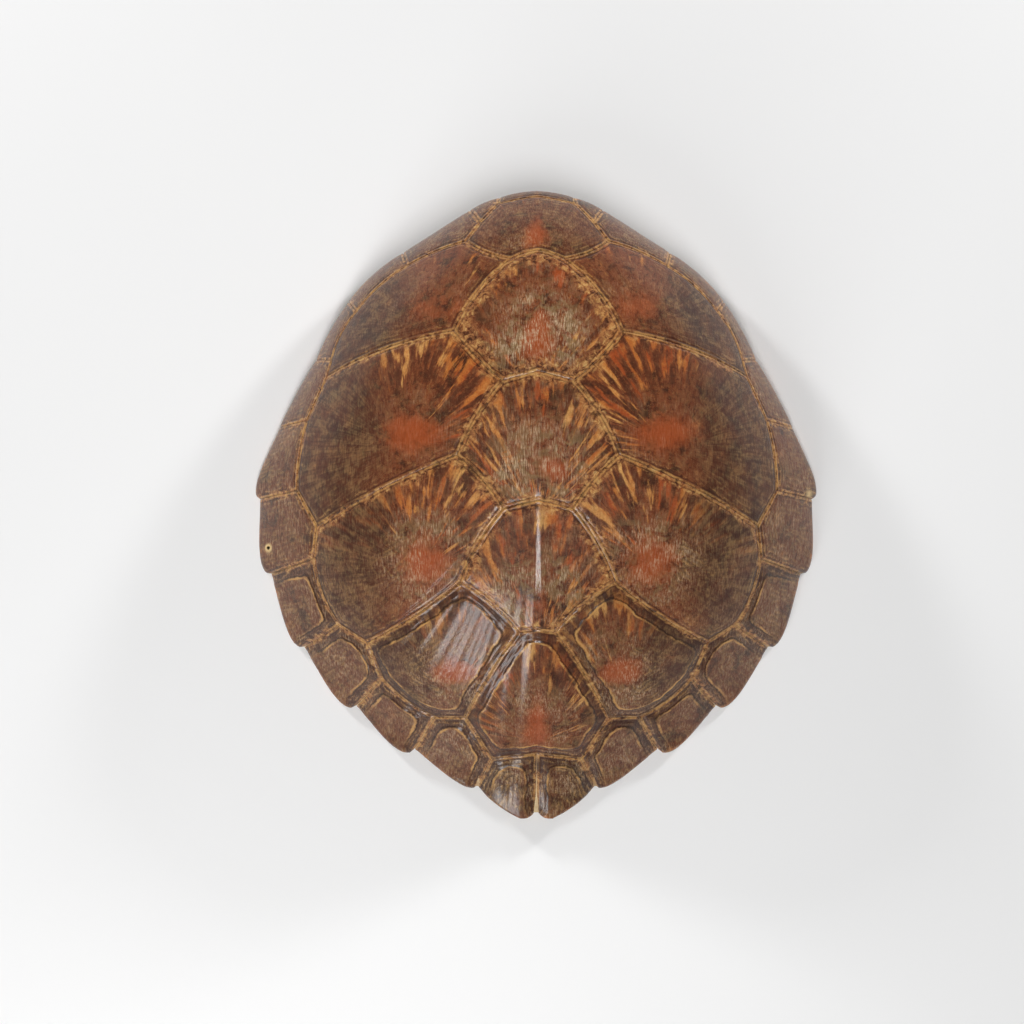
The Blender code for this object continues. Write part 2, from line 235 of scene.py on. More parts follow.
def wobble(x, y, size, seed):
    """A slow uneven wave over the shell, from -1 to 1."""
    total = np.zeros(np.shape(x))
    for number in range(4):
        turn = 1.3 * number + 0.7 * seed
        pitch = 2 * math.pi / (size * (1.0 + 0.37 * number))
        along = x * math.cos(turn) + y * math.sin(turn)
        across = x * math.sin(turn) - y * math.cos(turn)
        total += np.sin(along * pitch + 1.7 * seed + 1.1 * np.sin(across * pitch * 0.6 + number))
    return total / 4


def away_from_crown(x, y):
    """Distance from the top of the dome and the direction as (side, ahead)."""
    reach = np.maximum(np.hypot(x, y - CROWN_Y), 1e-6)
    return reach, x / reach, (y - CROWN_Y) / reach


def bow_shape(part, serrated):
    """How far a bowed seam stands out at one part of its way towards the tail, from 0 to 1."""
    if serrated:
        return 2.8 * part ** 1.4 * (1 - part) ** 0.45
    return 4 * part * (1 - part)


def seam(start, end, pair):
    """Points along the seam between two scutes, without its last one."""
    (x0, y0), (x1, y1) = start, end
    length = math.hypot(x1 - x0, y1 - y0)
    steps = max(2, round(length / SEAM_STEP))
    across = np.array([(y1 - y0) / length, (x0 - x1) / length])
    if across[0] * (x0 + x1) / 2 + across[1] * ((y0 + y1) / 2 - CROWN_Y) < 0:
        across = -across
    part = np.arange(steps) / steps
    bow = BOWS.get(pair, 0.0) * bow_shape(part if y1 < y0 else 1 - part, pair in SERRATED)
    x = x0 + part * (x1 - x0) + bow * across[0]
    y = y0 + part * (y1 - y0) + bow * across[1]
    return np.stack([x, y], 1)


def scute_centre(label):
    """The point that a scute's rings close in on."""
    if label in CENTRES:
        return CENTRES[label]
    own = [place for meeting, place in JUNCTIONS.items() if label in meeting.split()]
    return sum(x for x, y in own) / len(own), sum(y for x, y in own) / len(own)


def corners(label):
    """The junctions round one scute, in order round its centre, each with the scutes there."""
    own = [(x, y, meeting.split()) for meeting, (x, y) in JUNCTIONS.items()
           if label in meeting.split()]
    if label[0] in "NV":
        own += [(-x, y, meeting) for x, y, meeting in own if x > 0]
    centre_x, centre_y = scute_centre(label)
    return sorted(own, key=lambda corner: math.atan2(corner[1] - centre_y, corner[0] - centre_x))


def scute_border(label):
    """The closed line round a scute: its points, and which of them lie on the rim."""
    places, on_rim = [], []
    own = corners(label)
    for (x0, y0, here), (x1, y1, there) in zip(own, own[1:] + own[:1]):
        pair = " ".join(sorted(set(here) & set(there)))
        points = seam((x0, y0), (x1, y1), pair)
        places.append(points)
        on_rim += [("rim" in pair) or (number == 0 and "rim" in here)
                   for number in range(len(points))]
    return np.concatenate(places), np.array(on_rim)


def rim_outline():
    """The outer edge of the right half as (turn from straight ahead, reach), front to tail."""
    found = {}
    for label in ["N"] + ["M%d" % number for number in range(1, 12)] + ["S"]:
        places, on_rim = scute_border(label)
        for x, y in places[on_rim & (places[:, 0] >= 0)]:
            reach, side, ahead = away_from_crown(x, y)
            found[round(math.atan2(side, ahead), 5)] = float(reach)
    return np.array(sorted(found.items())).T


OUTLINE = rim_outline()


def edge_reach(turn):
    """Distance from the top of the dome to the rim in one direction."""
    turn = np.abs(np.arctan2(np.sin(turn), np.cos(turn)))
    return np.interp(turn, OUTLINE[0], OUTLINE[1])


def smooth_reach(turn):
    """The same without the scallops, for the middle of the dome: a mean over 30 degrees."""
    return sum(edge_reach(turn + math.radians(5 * step)) for step in range(-3, 4)) / 7


def rim_bottom(y):
    """Height of the rim's lower edge above the floor."""
    front = FRONT_RISE * (np.maximum(y - FLAT_FRONT, 0) / (FRONT_END - FLAT_FRONT)) ** 2
    tail = TAIL_RISE * (np.minimum(y - FLAT_BACK, 0) / (TAIL_END - FLAT_BACK)) ** 2
    return front + tail


def keel(x, y):
    """The low ridge along the back."""
    fade = np.clip(np.minimum(KEEL_FRONT - y, y - KEEL_BACK) / KEEL_FADE, 0, 1)
    return KEEL_HEIGHT * fade / (1 + (x / KEEL_WIDTH) ** 2)


def dome_height(x, y):
    """Height of the shell's outer face, steep over the neck and flared at the tail."""
    reach, side, ahead = away_from_crown(x, y)
    turn = np.arctan2(side, ahead)
    exact, smooth = edge_reach(turn), smooth_reach(turn)
    near_rim = np.minimum(1.0, reach / exact) ** 8
    out = np.minimum(1.0, reach / (smooth + (exact - smooth) * near_rim))
    fullness = 2.4 + 0.2 * ahead
    steepness = 0.9 - np.where(ahead > 0, 0.28, 0.25) * ahead
    edge = rim_bottom(y) + RIM_DEPTH
    return edge + (CROWN_HEIGHT - edge) * (1 - out ** fullness) ** steepness + keel(x, y)


def outward(x, y):
    """The outer face's own normal."""
    step = 0.5
    slope_x = (dome_height(x + step, y) - dome_height(x - step, y)) / (2 * step)
    slope_y = (dome_height(x, y + step) - dome_height(x, y - step)) / (2 * step)
    return unit(np.stack([-slope_x, -slope_y, np.ones(np.shape(x))], -1))


def face_points(x, y):
    """Points of the outer face and the way inwards there."""
    return np.stack([x, y, dome_height(x, y)], -1), -outward(x, y)


def rim_points(x, y):
    """Points of the rim's upper edge, the way inwards there, mitred, and level inwards."""
    face = outward(x * 0.985, CROWN_Y + (y - CROWN_Y) * 0.985)
    wall = unit(face * (1, 1, 0))
    mitre = (face + wall) / (1 + np.sum(face * wall, -1, keepdims=True))
    return np.stack([x, y, rim_bottom(y) + RIM_DEPTH], -1), -mitre, -wall


def rim_gap(x, y):
    """Distance to the rim, measured outwards from the top of the dome."""
    reach, side, ahead = away_from_crown(x, y)
    return edge_reach(np.arctan2(side, ahead)) - reach


def rim_drop(gap, radius):
    """How far the face sinks as it rounds over the rim's edge."""
    gap = np.clip(gap, 0, radius)
    return radius - np.sqrt(radius ** 2 - (radius - gap) ** 2)


def distance_to_lines(points, starts, ends):
    """Distance from each point to the nearest of many straight pieces, and the same rounded off
    where two of them meet."""
    way = ends - starts
    length = np.maximum(np.sum(way * way, -1), 1e-9)
    sharp, soft = np.empty(len(points)), np.empty(len(points))
    for first in range(0, len(points), POINTS_AT_ONCE):
        chunk = slice(first, first + POINTS_AT_ONCE)
        some = points[chunk, None, :] - starts[None]
        part = np.clip(np.sum(some * way, -1) / length, 0, 1)
        apart = np.sqrt(np.sum((some - part[..., None] * way) ** 2, -1))
        sharp[chunk] = apart.min(1)
        soft[chunk] = np.sum(np.exp(-apart / CORNER_ROUND) * np.sqrt(length), 1)
    gap = np.linspace(0.0, 60.0, 241)
    along = np.linspace(-60.0, 60.0, 481)
    straight = np.exp(-np.hypot(gap[:, None], along) / CORNER_ROUND).sum(1) * (along[1] - along[0])
    return sharp, np.interp(-np.log(np.maximum(soft, 1e-12)), -np.log(straight), gap)


class Scute:
    """One scute of the right half or the middle, from its outline to its finished plate."""

    def __init__(self, label, sizes):
        self.label = label
        self.seed = sum(map(ord, label))
        self.seam_depth = sizes.seam_depth / MM
        self.growth_depth = sizes.growth_depth / MM
        self.step_height = sizes.step_height / MM
        self.rim_round = sizes.rim_round / MM
        self.look = LOOKS.get(label, dict(RIM_LOOK, plateau=label in STEPPED_RIM))
        self.centre = np.array(scute_centre(label), float)
        self.border, self.on_rim = scute_border(label)
        self.seams = self.seam_lines()

    def seam_lines(self):
        """The straight pieces of the seams, in space, with the ends that run down the rim."""
        x, y = self.border.T
        height = np.where(self.on_rim, rim_bottom(y) + RIM_DEPTH, dome_height(x, y))
        line = np.stack([x, y, height], -1)
        after = np.roll(line, -1, 0)
        kept = ~(self.on_rim & np.roll(self.on_rim, -1))
        turning = self.on_rim & ~(np.roll(self.on_rim, -1) & np.roll(self.on_rim, 1))
        down = line[turning] * (1, 1, 0)
        down[:, 2] = rim_bottom(down[:, 1])
        return (np.concatenate([line[kept], line[turning]]),
                np.concatenate([after[kept], down]))

    def seam_distance(self, points):
        """Distance of each point from the nearest seam."""
        return distance_to_lines(points, *self.seams)

    def uneven(self, x, y, gap):
        """A rounded seam distance, made uneven away from the seam."""
        uneven = 1.5 * wobble(x, y, 27.0, self.seed) + 0.8 * wobble(x, y, 9.0, self.seed + 1)
        return gap + uneven * smooth_step(1.5, 7.0, gap)

    def relief(self, points, gaps):
        """How far the horn lies below its highest face, down to a soft limit."""
        x, y = points[:, 0], points[:, 1]
        gap, rounded = gaps
        gap_wave = self.uneven(x, y, rounded)
        deep = self.seam_depth * np.exp(-gap / CUT_WIDTH)
        deep += SLOPE_DEPTH * np.exp(-gap / SLOPE_WIDTH)
        deep += GROOVE_DEPTH * np.exp(-((gap - GROOVE_PLACE) / GROOVE_WIDTH) ** 2)
        growth = 1 - np.cos(2 * math.pi * gap_wave / GROWTH_PITCH)
        deep += self.growth_depth * growth * smooth_step(*LIP_BACK, gap) * np.exp(
            -gap / GROWTH_FADE)
        if self.look.get("plateau"):
            deep += self.step_height * smooth_step(STEP_LINE + STEP_SOFTNESS,
                                                   STEP_LINE - STEP_SOFTNESS, gap_wave)
            deep += LOW_STEP_HEIGHT * smooth_step(*LOW_STEP_LINE, gap_wave)
        deep += SWELL_DEPTH * (1 + wobble(x, y, 34.0, self.seed + 3))
        if self.label[0] == "V":
            worn_crest = np.exp(-(x / CREST_WIDTH) ** 2)
            deep += CREST_DEPTH * worn_crest * smooth_step(115, 60, y)
        return DEEPEST * np.tanh(deep / DEEPEST)

    def pulled_border(self):
        """The border drawn a little back from its seams."""
        before, after = np.roll(self.on_rim, 1), np.roll(self.on_rim, -1)
        goal = np.broadcast_to(self.centre, self.border.shape).copy()
        goal[self.on_rim & after] = np.roll(self.border, -1, 0)[self.on_rim & after]
        goal[self.on_rim & ~after] = np.roll(self.border, 1, 0)[self.on_rim & ~after]
        moves = ~(self.on_rim & before & after)
        way = unit(goal - self.border) * SEAM_RETREAT
        return self.border + way * moves[:, None]

    def ring(self, border, back, inner):
        """Plan points of one ring: back millimetres from the border, or inner of the way to it."""
        way = border - self.centre
        length = np.linalg.norm(way, axis=1)
        lined = np.minimum(1.0, 0.75 * length / LINE_STEPS[-1]) * LINE_STEPS[-1]
        share = (1 - lined / length) * inner if inner is not None else \
            1 - back * lined / LINE_STEPS[-1] / length
        return self.centre + way * share[:, None]

    def plate(self):
        """Rows of points round the closed plate, from the top's centre to the underside's."""
        border = self.pulled_border()
        far = np.linalg.norm(border - self.centre, axis=1).max()
        inner_rows = max(4, round((far - LINE_STEPS[-1]) / FACE_STEP))
        rows = [self.ring(border, None, part) for part in np.arange(1, inner_rows) / inner_rows]
        rows += [self.ring(border, back, None) for back in LINE_STEPS[::-1]]
        plan = np.array(rows)
        points, inward = face_points(plan[..., 0], plan[..., 1])
        edge, mitre, level = rim_points(border[:, 0], border[:, 1])
        points[-1][self.on_rim], inward[-1][self.on_rim] = edge[self.on_rim], mitre[self.on_rim]
        flat = points.reshape(-1, 3)
        deep = self.relief(flat, self.seam_distance(flat)).reshape(points.shape[:2])
        top = points + inward * deep[..., None]
        top[..., 2] -= rim_drop(rim_gap(plan[..., 0], plan[..., 1]), self.rim_round)
        under_plan = np.array([self.ring(border, 5.0, None)] + [
            self.ring(border, None, part) for part in np.linspace(0.9, 0.15, UNDER_ROWS)])
        under, under_in = face_points(under_plan[..., 0], under_plan[..., 1])
        last = points[-1] + inward[-1] * SCUTE_THICKNESS
        foot = np.stack([border[:, 0], border[:, 1], rim_bottom(border[:, 1]) + SKIRT_LIFT], -1)
        outer_foot = foot + level * deep[-1][:, None]
        inner_foot = foot + level * SCUTE_THICKNESS
        walls = []
        rim = self.on_rim[:, None]
        for row in range(1, WALL_ROWS + 3):
            down = min(1.0, row / WALL_ROWS)
            on_wall = top[-1] + (outer_foot - top[-1]) * down
            if row > WALL_ROWS:
                on_wall = inner_foot
            plain = top[-1] + (last - top[-1]) * row / (WALL_ROWS + 3)
            walls.append(np.where(rim, on_wall, plain))
        centre, centre_in = face_points(*[np.array([value]) for value in self.centre])
        centre_deep = self.relief(centre, self.seam_distance(centre))
        return [centre[0] + centre_in[0] * centre_deep[0], *top, *walls[:-1], last,
                *(under + under_in * SCUTE_THICKNESS), centre[0] + centre_in[0] * SCUTE_THICKNESS]


def loft(rows):
    """Points and faces of a closed skin over rows of points, each end closed on one point."""
    middle = np.array(rows[1:-1])
    count, around = middle.shape[:2]
    points = np.concatenate([rows[0][None], middle.reshape(-1, 3), rows[-1][None]])
    start = 1 + np.arange(count - 1)[:, None] * around
    here, after = np.arange(around), (np.arange(around) + 1) % around
    quads = np.stack([start + here, start + around + here, start + around + after,
                      start + after], -1).reshape(-1, 4)
    last = 1 + (count - 1) * around
    top = np.stack([np.zeros(around, int), 1 + here, 1 + after], -1)
    bottom = np.stack([np.full(around, last + around), last + after, last + here], -1)
    return points, [*quads.tolist(), *top.tolist(), *bottom.tolist()]


def make_piece(name, points, faces, mirrored=False):
    """A mesh object of the points, in millimetres from the seams' zero, moved into place."""
    placed = (points - (0, MIDDLE_Y, 0)) * MM
    if mirrored:
        placed = placed * (-1, 1, 1)
        faces = [face[::-1] for face in faces]
    mesh = bpy.data.meshes.new(name)
    mesh.from_pydata(placed.tolist(), [], faces)
    mesh.validate()
    piece = bpy.data.objects.new(name, mesh)
    bpy.context.scene.collection.objects.link(piece)
    return piece


def drill(piece, radius):
    """Cut the round hole through a piece near the left rim. The radius is in metres."""
    bpy.ops.mesh.primitive_cylinder_add(
        vertices=32, radius=radius, depth=0.2,
        location=(HOLE_PLACE[0] * MM, (HOLE_PLACE[1] - MIDDLE_Y) * MM, 0.0))
    bit = bpy.context.object
    cut = piece.modifiers.new("hole", "BOOLEAN")
    cut.operation, cut.solver, cut.object = "DIFFERENCE", "EXACT", bit
    bpy.context.view_layer.update()
    made = bpy.data.meshes.new_from_object(
        piece.evaluated_get(bpy.context.evaluated_depsgraph_get()))
    piece.modifiers.clear()
    old, piece.data = piece.data, made
    bpy.data.meshes.remove(old)
    bpy.data.objects.remove(bit)


def shell_places(piece):
    """A piece's points in millimetres from the seams' zero."""
    flat = np.empty(len(piece.data.vertices) * 3, np.float32)
    piece.data.vertices.foreach_get("co", flat)
    return flat.reshape(-1, 3).astype(float) / MM + (0, MIDDLE_Y, 0)


def write_values(piece, name, columns):
    """Store three numbers at each point of a piece, for its finish to read."""
    values = np.stack([np.broadcast_to(column, len(piece.data.vertices))
                       for column in columns], -1)
    made = piece.data.attributes.new(name, "FLOAT_VECTOR", "POINT")
    made.data.foreach_set("vector", values.astype(np.float32).ravel())


def spot(x, y, at_x, at_y, half_x, half_y):
    """1 in the middle of an oval spot, falling to 0 at twice its size."""
    return smooth_step(2.0, 0.0, np.hypot((x - at_x) / half_x, (y - at_y) / half_y))


def ray_strength(look, turn, rounded):
    """How strongly the bright rays show at each point of a scute."""
    first, last, strength = look.get("rays", NO_RAYS)
    length = look.get("length", 10.0)
    inside = smooth_step(first - 15, first + 15, turn) * smooth_step(last + 15, last - 15, turn)
    return strength * inside * smooth_step(length, 0.3 * length, rounded)


def patch_strength(look, way_x, way_y):
    """How strongly the orange spot shows. A long spot narrows towards the head."""
    ahead, aside, half_y, half_x, strength = look.get("patch", NO_PATCH)
    if half_x < 0:
        return np.zeros(len(way_x))
    narrowing = np.clip(1 - 0.35 * (way_y - ahead) / half_y, 0.55, 1.3) \
        if half_y > half_x else 1.0
    return strength * spot(way_x, way_y, aside, ahead, half_x * narrowing, half_y)


def pale_marks(scute, side, places, x, y):
    """The bare horn round the drilled hole and the pale chip on the other side's rim."""
    if scute.label == "M7" and side < 0:
        hole = np.hypot(places[:, 0] - HOLE_PLACE[0], places[:, 1] - HOLE_PLACE[1])
        return smooth_step(4.2, 2.4, hole)
    if scute.label == "M6" and side > 0:
        return spot(x, y, *CHIP_PLACE, 2.2, 2.6)
    return np.zeros(len(x))


def mark_scute(piece, scute, side, number):
    """Store where the scute's rays, spot, seams, steps and wear lie."""
    places = shell_places(piece)
    right = places * (side, 1, 1)
    x, y = right[:, 0], right[:, 1]
    look = scute.look
    gap, rounded = scute.seam_distance(right)
    way_x, way_y = x - scute.centre[0], y - scute.centre[1]
    away = np.maximum(np.hypot(way_x, way_y), 1e-6)
    back, aside = look.get("root", (0, 0))
    root_x, root_y = way_x - aside, way_y + back
    far = np.maximum(np.hypot(root_x, root_y), 1e-6)
    turn = np.degrees(np.arctan2(root_x, root_y))
    patch = patch_strength(look, way_x, way_y)
    ray = ray_strength(look, turn, rounded) * (1 - np.minimum(1.0, patch * 1.5))
    # Outer tone: the horn's darker grey-brown outer parts, with a painted grey sheen of the steep
    # sides.
    outer_tone_and_sheen = smooth_step(look["outer_tone_and_sheen"] - 22, look["outer_tone_and_sheen"] + 26, np.abs(x) - 0.25 * np.abs(way_y))
    outer_tone_and_sheen = np.maximum(outer_tone_and_sheen, look["dull"])
    # The plateau's step line. It places the painted shadow at each step's foot, the painted
    # highlight on its top edge and the darker hollow outside it.
    contour = scute.uneven(x, y, rounded) - STEP_LINE if look.get("plateau") else np.full(
        len(x), NO_STEP)
    worn = look["worn"] * (0.75 + 0.4 * wobble(x, y, 60.0, number))
    front = 1.0
    if scute.label in CENTRES:
        worn = worn * (0.2 + 0.8 * smooth_step(48, 22, away))
        front = 0.25 + 0.75 * smooth_step(120, 65, np.abs(turn))
    band = smooth_step(1.3, 0.2, gap / (look["band"] * front))
    pale = pale_marks(scute, side, places, x, y)
    pitch = look.get("pitch", 1.0)
    write_values(piece, "fan", (pitch * root_x / far + 3.1 * number,
                                pitch * root_y / far + 1.7 * number, far * 0.0035))
    write_values(piece, "reach", (gap, rim_gap(x, y), contour))
    write_values(piece, "zones", (ray, patch, outer_tone_and_sheen))
    write_values(piece, "wear", (worn, band, pale))


def finish_piece(piece, node, material, sharp=50):
    """Smooth a piece, give it its finish and let it stand for its solid."""
    piece.data.shade_smooth()
    piece.data.set_sharp_from_angle(angle=math.radians(sharp))
    piece.data.materials.clear()
    piece.data.materials.append(material)
    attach(piece, "root")
    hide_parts(node)


class Board:
    """The node board of one material."""

    def __init__(self, name):
        self.material = bpy.data.materials.get(name) or bpy.data.materials.new(name)
        self.material.use_nodes = True
        self.tree = self.material.node_tree
        self.shader = self.tree.nodes["Principled BSDF"]

    def plug(self, socket, value):
        """Join a socket to another, or set it."""
        if isinstance(value, NodeSocket):
            self.tree.links.new(value, socket)
        else:
            socket.default_value = value

    def values(self, name):
        """Three stored numbers of each point, as a vector."""
        node = self.tree.nodes.new("ShaderNodeAttribute")
        node.attribute_name = name
        return node.outputs["Vector"]

    def split(self, vector):
        """The three parts of a vector."""
        node = self.tree.nodes.new("ShaderNodeSeparateXYZ")
        self.plug(node.inputs[0], vector)
        return node.outputs[0], node.outputs[1], node.outputs[2]

    def place(self):
        """The point's own place, in metres."""
        return self.tree.nodes.new("ShaderNodeTexCoord").outputs["Object"]

    def stretched(self, vector, x, y, z):
        """A vector with each part scaled by its own amount."""
        node = self.tree.nodes.new("ShaderNodeVectorMath")
        node.operation = "MULTIPLY"
        self.plug(node.inputs[0], vector)
        node.inputs[1].default_value = (x, y, z)
        return node.outputs[0]

    def noise(self, vector, scale, detail=3.0, rough=0.55, bend=0.0):
        """Cloudy noise from 0 to 1."""
        node = self.tree.nodes.new("ShaderNodeTexNoise")
        self.plug(node.inputs["Vector"], vector)
        node.inputs["Scale"].default_value = scale
        node.inputs["Detail"].default_value = detail
        node.inputs["Roughness"].default_value = rough
        node.inputs["Distortion"].default_value = bend
        return node.outputs["Fac"]

    def sum(self, first, second):
        """Two numbers added."""
        return self.calc("ADD", first, second)

    def times(self, first, second):
        """Two numbers multiplied."""
        return self.calc("MULTIPLY", first, second)

    def wander(self, value, noise, size):
        """A number moved to and fro by a noise, by half of size each way at most."""
        return self.sum(value, self.times(self.sum(noise, -0.5), size))

    def calc(self, operation, first, second=0.0):
        """One reckoning with one or two numbers."""
        node = self.tree.nodes.new("ShaderNodeMath")
        node.operation = operation
        self.plug(node.inputs[0], first)
        self.plug(node.inputs[1], second)
        return node.outputs[0]

    def span(self, value, low, high, to_low=0.0, to_high=1.0):
        """A number eased from to_low at low to to_high at high."""
        node = self.tree.nodes.new("ShaderNodeMapRange")
        node.interpolation_type = "SMOOTHSTEP"
        self.plug(node.inputs["Value"], value)
        node.inputs["From Min"].default_value = low
        node.inputs["From Max"].default_value = high
        node.inputs["To Min"].default_value = to_low
        node.inputs["To Max"].default_value = to_high
        return node.outputs["Result"]

    def near(self, value, place, outer, inner):
        """1 within inner of a place, 0 from outer on."""
        return self.span(self.calc("ABSOLUTE", self.sum(value, -place)), outer, inner)

    def ramp(self, amount, *stops):
        """A colour read from stops, each (place, colour)."""
        node = self.tree.nodes.new("ShaderNodeValToRGB")
        self.plug(node.inputs["Fac"], amount)
        steps = node.color_ramp.elements
        steps[0].position, steps[0].color = stops[0]
        steps[1].position, steps[1].color = stops[-1]
        for place, colour in stops[1:-1]:
            steps.new(place).color = colour
        return node.outputs["Color"]

    def blend(self, amount, first, second):
        """One colour laid over another."""
        node = self.tree.nodes.new("ShaderNodeMix")
        node.data_type = "RGBA"
        self.plug(node.inputs[0], amount)
        self.plug(node.inputs[6], first)
        self.plug(node.inputs[7], second)
        return node.outputs[2]

    def bump(self, height, depth, strength):
        """A normal from a height, depth being the height's full size in metres."""
        node = self.tree.nodes.new("ShaderNodeBump")
        node.inputs["Strength"].default_value = strength
        node.inputs["Distance"].default_value = depth
        self.plug(node.inputs["Height"], height)
        return node.outputs["Normal"]


def colour_setting(name, description, steps):
    """A colour that a user may change, its default given in 0 to 255 screen steps."""
    return FloatVectorProperty(name=name, description=description, subtype="COLOR", size=4,
                               min=0, max=1, default=tint(*steps))


def length_setting(name, description, least, most, default):
    """A length in metres that a user may change."""
    return FloatProperty(name=name, description=description, min=least, max=most,
                         default=default, unit="LENGTH")


def factor_setting(name, description, default):
    """A share from 0 to 1 that a user may change."""
    return FloatProperty(name=name, description=description, subtype="FACTOR", min=0, max=1,
                         default=default)


def wall_setting(name, description, default):
    """The strength of a part of the room's light."""
    return FloatProperty(name=name, description=description, min=0, max=4, default=default)


def lamp_setting(name, description, default):
    """The power of a lamp."""
    return FloatProperty(name=name, description=description, min=0, max=500, default=default,
                         unit="POWER")


class ShellSize(PropertyGroup):
    """Sizes of the horn's relief, the rim and the drilled hole."""
    seam_depth: length_setting("Seam depth", "Depth of the cut between scutes",
                               0, 0.0012, 0.0007)
    growth_depth: length_setting("Growth line depth", "Depth of the lines beside the seams",
                                 0, 0.0003, 0.00009)
    step_height: length_setting("Step height", "Rise of the rear scutes' plateaus",
                                0, 0.001, 0.00055)
    rim_round: length_setting("Rim rounding", "Radius of the rim's upper edge",
                              0.0005, 0.004, 0.0025)
    hole_radius: length_setting("Hole radius", "Half the width of the drilled hole",
                                0.0005, 0.003, 0.0015)


class HornFinish(PropertyGroup):
    """Colours and gloss of the horn."""
    deep: colour_setting("Deep brown", "Darkest brown between the rays", (58, 32, 22))
    body: colour_setting("Body", "Red-brown of the horn's body", (118, 62, 36))
    warm: colour_setting("Warm brown", "Lighter clouds in the body", (152, 98, 60))
    amber: colour_setting("Amber", "Bright rays", (186, 112, 52))
    gold: colour_setting("Gold", "Brightest rays", (212, 160, 92))
    patch: colour_setting("Spot", "Orange spot at each growth centre", (156, 72, 34))
    # The outer tone: the horn's darker outer colour, with a painted grey sheen of the steep sides.
    outer_tone_and_sheen: colour_setting("Dusk", "Grey-brown of the outer parts", (76, 54, 38))
    olive: colour_setting("Olive", "Lighter clouds in the outer parts", (120, 92, 60))
    grey: colour_setting("Hatching", "Fine pale scratches", (196, 172, 140))
    # Tan also makes the painted highlight along each plateau's top edge.
    tan: colour_setting("Tan", "Mottled border inside the seams", (190, 144, 84))
    cream: colour_setting("Cream", "Palest blots and bare horn", (222, 190, 130))
    # Crack also makes the painted shadow line at the foot of each plateau's step.
    crack: colour_setting("Crack", "Dirt in the seams", (34, 22, 15))
    edge: colour_setting("Rim amber", "Thin horn along the rim", (176, 110, 50))
    gloss: factor_setting("Varnish", "Weight of the varnish coat", 0.5)
    sheen: factor_setting("Varnish roughness", "Roughness of the varnish coat", 0.12)


class BoneFinish(PropertyGroup):
    """Colours of the bare bone on the underside, and its ribs."""
    pale: colour_setting("Bone", "Pale bone", (214, 190, 148))
    stain: colour_setting("Stain", "Oily brown stains", (158, 118, 72))
    dark: colour_setting("Suture", "Dark lines between the bones", (88, 60, 36))
    rib_height: length_setting("Rib height", "How far the ribs stand out", 0, 0.004, 0.0018)


class StageSetting(PropertyGroup):
    """The floor, the lamps and the camera."""
    floor: FloatVectorProperty(name="Floor", description="Pale floor", subtype="COLOR", size=4,
                               min=0, max=1, default=(0.86, 0.86, 0.86, 1))
    daylight: wall_setting("Wall light", "Strength of the pale walls", 0.22)
    horizon: wall_setting("Backdrop light", "Strength of the wall's foot", 0.8)
    ceiling: wall_setting("Ceiling light", "Strength of the room overhead", 0.08)
    top_power: lamp_setting("Top lamp", "Power of the broad lamp overhead", 3.5)
    main_power: lamp_setting("Main lamps", "Power of the two lamps at the sides", 25.0)
    fill_power: lamp_setting("Fill lamp", "Power of the lamp over the tail", 9.0)
    glint_power: lamp_setting("Glint lamp", "Power of the narrow lamp above", 12.5)
    camera_height: length_setting("Camera height", "Above the floor", 0.5, 5, 1.5)


